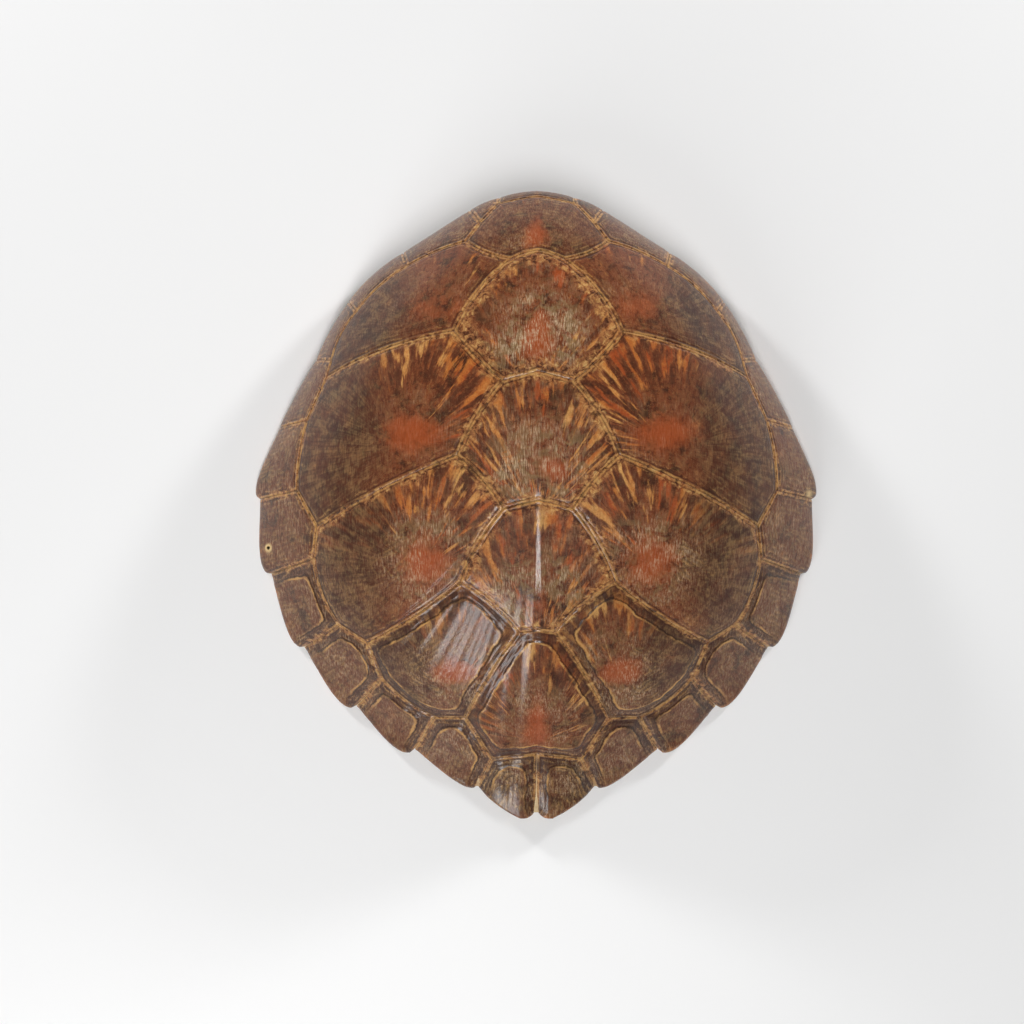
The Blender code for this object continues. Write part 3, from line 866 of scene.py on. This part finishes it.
class HornBoard(Board):
    """Varnished horn, laid layer over layer."""

    def __init__(self, name, finish):
        super().__init__(name)
        self.finish = finish
        self.seam_gap, self.rim_away, self.contour = self.split(self.values("reach"))
        self.ray, self.patch, self.outer_tone_and_sheen = self.split(self.values("zones"))
        self.worn, self.band, self.pale = self.split(self.values("wear"))
        self.fan = self.values("fan")
        place = self.place()
        self.cloud = self.noise(place, 62.0, 6.0, 0.62, 0.4)
        self.blot = self.noise(place, 240.0, 6.0, 0.68, 0.6)
        self.fleck = self.noise(place, 850.0, 4.0, 0.7)
        self.drift = self.noise(place, 105.0, 3.0, 0.6, 0.8)
        self.hair = self.noise(self.stretched(place, 1500.0, 130.0, 420.0), 1.0, 5.0, 0.65, 0.5)
        fibres = self.stretched(self.fan, 1.0, 1.0, 0.55)
        self.fibre = self.noise(fibres, 30.0, 3.0, 0.62, 0.1)
        self.colour = self.ramp(self.cloud, (0.34, finish.deep), (0.46, finish.body),
                                (0.58, finish.body), (0.72, finish.warm))

    def lay(self, amount, colour):
        """Lay a colour over what is there."""
        self.colour = self.blend(amount, self.colour, colour)

    def lay_ground(self):
        """Blots, flecks and fibres in the red-brown body."""
        finish = self.finish
        self.lay(self.span(self.blot, 0.52, 0.7, 0.0, 0.7), finish.warm)
        self.lay(self.span(self.blot, 0.47, 0.32, 0.0, 0.75), finish.deep)
        self.lay(self.span(self.fleck, 0.58, 0.68, 0.0, 0.35), finish.tan)
        self.lay(self.span(self.fleck, 0.42, 0.33, 0.0, 0.6), finish.deep)
        self.lay(self.span(self.fibre, 0.5, 0.38, 0.0, 0.3), finish.deep)

    def lay_rays(self):
        """Dark and bright rays that spread from the scute's root."""
        finish = self.finish
        strokes = self.noise(self.fan, 13.5, 3.5, 0.55, 0.15)
        between = self.span(strokes, 0.5, 0.4, 0.0, 0.55)
        self.lay(self.times(self.span(self.ray, 0.1, 0.5), between), finish.deep)
        tone = self.noise(self.stretched(self.fan, 1.0, 1.0, 0.5), 5.0, 1.0, 0.5)
        tone = self.sum(self.times(tone, 0.7), self.times(self.blot, 0.3))
        bright = self.ramp(tone, (0.4, finish.patch), (0.5, finish.amber), (0.66, finish.gold))
        reach_in = self.times(self.sum(self.ray, -0.75), 0.13)
        light = self.span(self.sum(strokes, reach_in), 0.51, 0.63)
        light = self.times(light, self.span(self.ray, 0.06, 0.3))
        light = self.times(light, self.span(self.fleck, 0.25, 0.55, 0.45, 0.9))
        self.lay(light, bright)

    def lay_outer_tone_and_sheen(self):
        """The grey-brown outer parts, darker horn with a painted grey sheen of the steep sides,
        the worn centres and the hollow round each plateau.
        """
        finish = self.finish
        shade = self.sum(self.times(self.drift, 0.4), self.times(self.hair, 0.35))
        shade = self.sum(shade, self.times(self.fibre, 0.25))
        # The outer tone: darker grey-brown horn with a painted grey sheen of the steep outer
        # parts.
        tone = self.ramp(shade, (0.43, finish.deep), (0.5, finish.outer_tone_and_sheen), (0.59, finish.olive))
        self.lay(self.times(self.outer_tone_and_sheen, self.span(self.cloud, 0.3, 0.7, 0.95, 0.65)), tone)
        centre = self.times(self.span(self.drift, 0.46, 0.6, 0.0, 0.7), self.worn)
        self.lay(centre, finish.olive)
        valley = self.span(self.contour, 1.0, -3.0)
        valley = self.times(valley, self.span(self.drift, 0.35, 0.6, 0.9, 0.4))
        self.lay(valley, finish.deep)

    def lay_growth_lines(self):
        """Wavering lines along the seams and over the worn parts, few on the rays."""
        lines = self.sum(self.times(self.seam_gap, 1.6), self.times(self.cloud, 17.0))
        lines = self.calc("SINE", self.sum(lines, self.times(self.blot, 8.0)))
        busy = self.times(self.times(self.worn, self.sum(self.outer_tone_and_sheen, 0.12)), 0.8)
        busy = self.sum(busy, self.span(self.seam_gap, 12.0, 2.0, 0.03, 0.5))
        busy = self.times(busy, self.span(self.ray, 0.2, 0.8, 1.0, 0.25))
        busy = self.times(busy, self.span(self.drift, 0.4, 0.6, 0.15, 1.15))
        self.line_dark = self.times(self.span(lines, -0.35, -0.85, 0.0, 0.75), busy)
        self.lay(self.line_dark, self.finish.deep)
        light = self.times(self.span(lines, 0.6, 0.95), self.span(self.blot, 0.38, 0.6, 0.15, 1.0))
        light = self.times(light, busy)
        self.lay(self.times(light, 0.75), self.finish.tan)

    def lay_spot(self):
        """The orange spot at the growth centre."""
        amount = self.wander(self.wander(self.patch, self.cloud, 0.9), self.blot, 0.5)
        self.lay(self.span(amount, 0.1, 0.75, 0.0, 0.82), self.finish.patch)

    def lay_hatching(self):
        """Fine pale scratches, and fine dark ones between them."""
        hatch = self.times(self.span(self.hair, 0.44, 0.64), self.worn)
        hatch = self.times(hatch, self.span(self.cloud, 0.42, 0.62, 0.2, 0.78))
        self.hatch = self.times(hatch, self.span(self.blot, 0.35, 0.6, 0.3, 1.0))
        self.lay(self.hatch, self.finish.grey)
        self.lay(self.span(self.hair, 0.45, 0.3, 0.0, 0.4), self.finish.deep)

    def lay_border(self):
        """The mottled border inside the seams."""
        finish = self.finish
        mottle = self.ramp(self.blot, (0.4, finish.deep), (0.5, finish.warm), (0.6, finish.tan),
                           (0.74, finish.cream))
        amount = self.wander(self.wander(self.band, self.fleck, 0.7), self.cloud, 2.6)
        self.lay(self.span(amount, 0.4, 1.1, 0.0, 0.8), mottle)

    def lay_step_shadow_and_highlight(self):
        """A painted shadow line at the foot of each plateau's step and a painted highlight band,
        tan, along its top edge.
        """
        edge_line = self.wander(self.contour, self.blot, 3.0)
        line = self.near(edge_line, 0.0, 1.0, 0.35)
        line = self.times(line, self.span(self.fleck, 0.35, 0.55, 1.0, 0.75))
        line = self.times(line, self.span(self.rim_away, 5.0, 14.0, 0.3, 1.0))
        band = self.near(edge_line, 1.7, 1.2, 0.3)
        band = self.times(band, self.span(self.cloud, 0.42, 0.58, 0.1, 0.85))
        band = self.times(band, self.span(self.rim_away, 8.0, 20.0, 0.2, 1.0))
        # Painted highlight: a tan band along the plateau's top edge.
        self.lay(band, self.finish.tan)
        # Painted shadow: a dark line on the step's face at the plateau's foot.
        self.lay(self.times(line, 0.85), self.finish.crack)

    def lay_seams(self):
        """The dark groove, the tan lip and the dirt in the crack of each seam."""
        gap_line = self.wander(self.wander(self.seam_gap, self.drift, 3.4), self.blot, 0.7)
        groove = self.near(gap_line, 3.0, 0.75, 0.2)
        self.lay(self.times(groove, self.span(self.cloud, 0.58, 0.42, 0.15, 0.7)),
                 self.finish.deep)
        lip_tone = self.sum(self.drift, self.times(self.blot, 0.5))
        lip = self.times(self.near(gap_line, 1.5, 1.1, 0.2),
                         self.span(lip_tone, 0.64, 0.92, 0.08, 0.6))
        self.lay(lip, self.finish.tan)
        crack = self.wander(self.wander(self.seam_gap, self.fleck, 0.9), self.cloud, 1.4)
        self.lay(self.times(self.span(crack, 0.85, 0.35), 0.85), self.finish.crack)

    def lay_rim(self):
        """The thin amber horn along the rim, and the pale marks."""
        amount = self.wander(self.wander(self.rim_away, self.blot, 7.0), self.cloud, -16.0)
        self.lay(self.span(amount, 1.6, -2.2, 0.0, 0.6), self.finish.edge)
        self.lay(self.times(self.pale, 0.9), self.finish.cream)

    def varnish(self):
        """Join the colour, the roughness and the fine relief of horn and varnish."""
        height = self.sum(self.times(self.hair, 0.4), self.times(self.fleck, 0.3))
        height = self.sum(height, self.times(self.blot, 0.6))
        height = self.sum(height, self.times(self.line_dark, -0.5))
        skin = self.sum(self.blot, self.times(self.line_dark, -0.6))
        skin = self.sum(self.times(self.hair, 0.1), skin)
        rough = self.sum(self.span(self.cloud, 0.3, 0.7, 0.36, 0.5), self.times(self.hatch, 0.25))
        inputs = self.shader.inputs
        self.plug(inputs["Base Color"], self.colour)
        self.plug(inputs["Roughness"], rough)
        self.plug(inputs["Normal"], self.bump(height, 0.0008, 0.6))
        self.plug(inputs["Coat Normal"], self.bump(skin, 0.0004, 0.3))
        inputs["Specular IOR Level"].default_value = 0.12
        inputs["Coat Weight"].default_value = self.finish.gloss
        inputs["Coat Roughness"].default_value = self.finish.sheen


def horn_material(name, finish):
    """Varnished horn with rays, a spot, hatching, mottled borders, seams and an amber rim."""
    board = HornBoard(name, finish)
    board.lay_ground()
    board.lay_rays()
    board.lay_outer_tone_and_sheen()
    board.lay_growth_lines()
    board.lay_spot()
    board.lay_hatching()
    board.lay_border()
    board.lay_step_shadow_and_highlight()
    board.lay_seams()
    board.lay_rim()
    board.varnish()
    return board.material


def bone_material(name, finish):
    """Cured bone: pale, stained and pitted, with toothed lines between the plates."""
    board = Board(name)
    place = board.place()
    plates, reach, _ = board.split(board.values("plates"))
    cloud = board.noise(place, 28.0, 6.0, 0.62, 0.3)
    grain = board.noise(board.stretched(place, 60.0, 420.0, 200.0), 1.0, 5.0, 0.6)
    pores = board.noise(place, 900.0, 3.0, 0.6)
    teeth = board.noise(place, 190.0, 3.0, 0.6)
    colour = board.ramp(cloud, (0.34, finish.stain), (0.6, finish.pale))
    colour = board.blend(board.span(grain, 0.4, 0.7, 0.0, 0.35), colour, finish.stain)
    pit = board.span(pores, 0.62, 0.72)
    colour = board.blend(board.times(pit, 0.6), colour, finish.dark)
    wander = board.times(board.sum(teeth, -0.5), 0.45)
    line = board.span(board.calc("ABSOLUTE", board.sum(plates, wander)), 0.075, 0.015)
    ring = board.calc("ABSOLUTE", board.sum(board.sum(reach, -0.865), board.times(wander, 0.07)))
    line = board.calc("MAXIMUM", line, board.span(ring, 0.007, 0.002))
    colour = board.blend(board.times(line, 0.8), colour, finish.dark)
    height = board.sum(board.times(grain, 0.4), board.times(line, -0.8))
    height = board.sum(height, board.times(pit, -0.6))
    board.plug(board.shader.inputs["Base Color"], colour)
    board.plug(board.shader.inputs["Roughness"], board.span(cloud, 0.3, 0.7, 0.5, 0.72))
    board.plug(board.shader.inputs["Normal"], board.bump(height, 0.0006, 0.6))
    return board.material


# Where each rib leaves the backbone and where it reaches the rim, front to tail
RIBS = ((235, 20, 300), (172, 118, 205), (120, 178, 140), (72, 205, 70), (28, 212, 12),
        (-16, 205, -46), (-58, 185, -100), (-98, 150, -146), (-134, 105, -186),
        (-215, 40, -300))


def rib_count(x, y):
    """Which rib a point lies at: whole numbers on the ribs, halves on the lines between."""
    side = np.abs(x)
    lines = np.array([start + (end_y - start) * side / end_x for start, end_x, end_y in RIBS])
    found = np.zeros(np.shape(x))
    for number in range(len(RIBS) - 1):
        above, below = lines[number], lines[number + 1]
        part = np.clip((above - y) / np.maximum(above - below, 1e-3), 0, 1)
        found = np.where(y < above, number + part, found)
    return found


def backbone(x, y):
    """Extra thickness of the bone under the keel, a row of vertebrae fused to it."""
    inside = np.minimum(KEEL_FRONT + KEEL_FADE - y, y - KEEL_BACK) / KEEL_FADE
    waist = 0.5 + 0.5 * np.cos(2 * math.pi * (y + 8) / 43.0)
    width = BACKBONE_WIDTH + 2.5 * waist
    return BACKBONE_DEPTH * (0.78 + 0.22 * waist) * np.clip(inside, 0, 1) * np.exp(
        -(x / width) ** 2)


def bone_rows(rib_height):
    """Rows of points round the closed bone, from the top's crown to the underside's."""
    steps = round(2 * OUTLINE[1].mean() * math.pi / BONE_STEP)
    turn = np.arange(steps) * 2 * math.pi / steps
    reach = edge_reach(turn)
    aim = np.stack([np.sin(turn), np.cos(turn)], -1)
    edge_x, edge_y = aim[:, 0] * reach, CROWN_Y + aim[:, 1] * reach
    edge, mitre, level = rim_points(edge_x, edge_y)
    foot = edge - (0, 0, RIM_DEPTH)

    def sheet(parts, under):
        kept = (1 - 14.0 / reach)
        plan_x = parts[:, None] * kept * edge_x
        plan_y = CROWN_Y + parts[:, None] * kept * (edge_y - CROWN_Y)
        points, inward = face_points(plan_x, plan_y)
        depth = np.full(plan_x.shape, BONE_DEPTH)
        if under:
            count = rib_count(plan_x, plan_y)
            near = np.abs(count - np.round(count)) * 42.0
            share = np.hypot(plan_x, plan_y - CROWN_Y) / reach
            rib = np.exp(-(near / 6.0) ** 2) * smooth_step(8, 26, np.abs(plan_x))
            rib *= smooth_step(0.9, 0.72, share) * smooth_step(240, 190, plan_y)
            depth = depth + BONE_THICKNESS + backbone(plan_x, plan_y) + rib_height / MM * rib
            depth += 0.25 * wobble(plan_x, plan_y, 30.0, 5)
        return points + inward * depth[..., None]

    top = sheet(np.arange(1, BONE_TOP_ROWS + 1) / BONE_TOP_ROWS, False)
    under = sheet(np.arange(BONE_ROWS, 0, -1) / BONE_ROWS, True)
    inner = BONE_DEPTH + BONE_RIM_THICKNESS
    walls = [edge + mitre * BONE_DEPTH, foot + level * BONE_DEPTH,
             foot + level * (BONE_DEPTH + 0.5 * BONE_RIM_THICKNESS), foot + level * inner,
             foot + level * (inner + 0.8) + (0, 0, 1.2), edge + mitre * inner]
    crown, crown_in = face_points(np.array([0.0]), np.array([CROWN_Y]))
    thick = BONE_DEPTH + BONE_THICKNESS + backbone(0.0, CROWN_Y)
    return [crown[0] + crown_in[0] * BONE_DEPTH, *top, *walls, *under,
            crown[0] + crown_in[0] * thick]


class SHELL_OT_bone(Operator):
    """Build the bony carapace under the scutes"""
    bl_idname = "shell.bone"
    bl_label = "Bony carapace"

    def execute(self, context):
        finish = context.scene.shell_bone
        piece = make_piece("carapace_bone", *loft(bone_rows(finish.rib_height)))
        drill(piece, context.scene.shell_size.hole_radius)
        places = shell_places(piece)
        x, y = places[:, 0], places[:, 1]
        reach, side, ahead = away_from_crown(x, y)
        share = reach / edge_reach(np.arctan2(side, ahead))
        write_values(piece, "plates", (np.cos(math.pi * rib_count(x, y)), share, x))
        finish_piece(piece, "bony_carapace", bone_material("cured_bone", finish))
        return {"FINISHED"}


def make_scute(label, name, side, material, number):
    """One finished scute. side is -1 for the animal's left."""
    sizes = bpy.context.scene.shell_size
    scute = Scute(label, sizes)
    piece = make_piece(name + "_horn", *loft(scute.plate()), mirrored=side < 0)
    if name == "marginal_scute_left_7":
        drill(piece, sizes.hole_radius)
    mark_scute(piece, scute, side, number)
    finish_piece(piece, name, material)


class SHELL_OT_keel_scutes(Operator):
    """Build the five vertebral scutes along the keel"""
    bl_idname = "shell.keel_scutes"
    bl_label = "Vertebral scutes"

    def execute(self, context):
        horn = horn_material("keel_horn", context.scene.shell_horn)
        for number in range(1, 6):
            make_scute("V%d" % number, "vertebral_scute_%d" % number, 1, horn, number)
        return {"FINISHED"}


class SHELL_OT_side_scutes(Operator):
    """Build the four pairs of costal scutes"""
    bl_idname = "shell.side_scutes"
    bl_label = "Costal scutes"

    def execute(self, context):
        horn = horn_material("side_horn", context.scene.shell_horn)
        for number in range(1, 5):
            for side, word in ((1, "right"), (-1, "left")):
                make_scute("C%d" % number, "costal_scute_%s_%d" % (word, number), side,
                           horn, 10 + 2 * number + (side < 0))
        return {"FINISHED"}


class SHELL_OT_rim_scutes(Operator):
    """Build the nuchal, marginal and supracaudal scutes round the rim"""
    bl_idname = "shell.rim_scutes"
    bl_label = "Rim scutes"

    def execute(self, context):
        horn = horn_material("rim_horn", context.scene.shell_horn)
        make_scute("N", "nuchal_scute", 1, horn, 30)
        for side, word in ((1, "right"), (-1, "left")):
            for number in range(1, 12):
                make_scute("M%d" % number, "marginal_scute_%s_%d" % (word, number), side,
                           horn, 31 + 2 * number + (side < 0))
            make_scute("S", "supracaudal_scute_%s" % word, side, horn,
                       60 + (side < 0))
        return {"FINISHED"}


def lay_floor(stage):
    """The pale floor, faintly clouded."""
    half = FLOOR_HALF
    mesh = bpy.data.meshes.new("floor")
    mesh.from_pydata([(-half, -half, 0), (half, -half, 0), (half, half, 0), (-half, half, 0)],
                     [], [(0, 1, 2, 3)])
    floor = bpy.data.objects.new("floor", mesh)
    bpy.context.scene.collection.objects.link(floor)
    board = Board("pale_floor")
    cloud = board.noise(board.place(), 3.0, 3.0, 0.5)
    board.plug(board.shader.inputs["Base Color"], board.blend(
        board.span(cloud, 0.3, 0.7, 0.0, 0.04), stage.floor, FLOOR_CLOUD))
    board.shader.inputs["Roughness"].default_value = 0.8
    mesh.materials.append(board.material)


def fade_up(nodes, links, height, low, high, foot, top):
    """A strength that runs from foot to top between two heights of the room."""
    fade = nodes.new("ShaderNodeMapRange")
    for name, value in (("From Min", low), ("From Max", high), ("To Min", foot), ("To Max", top)):
        fade.inputs[name].default_value = value
    links.new(height, fade.inputs["Value"])
    return fade.outputs["Result"]


def light_room(stage):
    """Pale walls that darken towards the ceiling, with a bright foot all round."""
    world = bpy.data.worlds.new("pale_room")
    world.use_nodes = True
    nodes, links = world.node_tree.nodes, world.node_tree.links
    split = nodes.new("ShaderNodeSeparateXYZ")
    links.new(nodes.new("ShaderNodeTexCoord").outputs["Generated"], split.inputs[0])
    height = split.outputs["Z"]
    both = nodes.new("ShaderNodeMath")
    both.operation = "MAXIMUM"
    links.new(fade_up(nodes, links, height, 0.0, 0.5, stage.daylight, stage.ceiling),
              both.inputs[0])
    links.new(fade_up(nodes, links, height, 0.01, 0.12, stage.horizon, 0.0), both.inputs[1])
    links.new(both.outputs[0], nodes["Background"].inputs["Strength"])
    nodes["Background"].inputs["Color"].default_value = ROOM_COLOUR
    bpy.context.scene.world = world


def hang_lamp(name, place, power, width, height, glossy):
    """A soft lamp that faces the shell. Only a glossy one is mirrored in the varnish."""
    data = bpy.data.lights.new(name, "AREA")
    data.shape, data.size, data.size_y, data.energy = "RECTANGLE", width, height, power
    lamp = bpy.data.objects.new(name, data)
    bpy.context.scene.collection.objects.link(lamp)
    lamp.location = place
    lamp.rotation_euler = (Vector(LAMP_AIM) - Vector(place)).to_track_quat("-Z", "Y").to_euler()
    lamp.visible_camera, lamp.visible_glossy = False, glossy


def set_camera(stage):
    """The camera, straight above the shell and a little aside."""
    data = bpy.data.cameras.new("camera")
    data.lens, data.sensor_width = LENS, SENSOR_WIDTH
    camera = bpy.data.objects.new("camera", data)
    camera.location = (*CAMERA_PLACE, stage.camera_height)
    bpy.context.scene.collection.objects.link(camera)
    bpy.context.scene.camera = camera
    bpy.context.scene.view_settings.view_transform = "Standard"


class SHELL_OT_stage(Operator):
    """Lay the floor, hang the lamps and set the camera over the shell"""
    bl_idname = "shell.stage"
    bl_label = "Floor, lamps and camera"

    def execute(self, context):
        stage = context.scene.shell_stage
        lay_floor(stage)
        light_room(stage)
        for name, place, setting, share, width, height, glossy in LAMPS:
            hang_lamp(name, place, share * getattr(stage, setting), width, height, glossy)
        set_camera(stage)
        return {"FINISHED"}


class SHELL_PT_panel(Panel):
    """The shell's steps and finishes"""
    bl_label = "Sea Turtle Shell"
    bl_idname = "SHELL_PT_panel"
    bl_space_type = "VIEW_3D"
    bl_region_type = "UI"
    bl_category = "Shell"

    def draw(self, context):
        for step in STEPS:
            self.layout.operator(step.bl_idname)
        for setting in SETTINGS:
            group = getattr(context.scene, setting)
            box = self.layout.box()
            for name in group.bl_rna.properties.keys():
                if name not in ("rna_type", "name"):
                    box.prop(group, name)


STEPS = (SHELL_OT_bone, SHELL_OT_keel_scutes, SHELL_OT_side_scutes, SHELL_OT_rim_scutes,
         SHELL_OT_stage)
SETTINGS = {"shell_size": ShellSize, "shell_horn": HornFinish, "shell_bone": BoneFinish,
            "shell_stage": StageSetting}
CLASSES = (*SETTINGS.values(), *STEPS, SHELL_PT_panel)


def register():
    """Add the shell's classes and settings."""
    for item in CLASSES:
        bpy.utils.register_class(item)
    for setting, group in SETTINGS.items():
        setattr(bpy.types.Scene, setting, PointerProperty(type=group))


def unregister():
    """Take them away again."""
    for setting in SETTINGS:
        delattr(bpy.types.Scene, setting)
    for item in reversed(CLASSES):
        bpy.utils.unregister_class(item)


def main():
    """Build everything in order."""
    register()
    bpy.ops.shell.bone()
    bpy.ops.shell.keel_scutes()
    bpy.ops.shell.side_scutes()
    bpy.ops.shell.rim_scutes()
    bpy.ops.shell.stage()


if __name__ == "__main__":
    main()
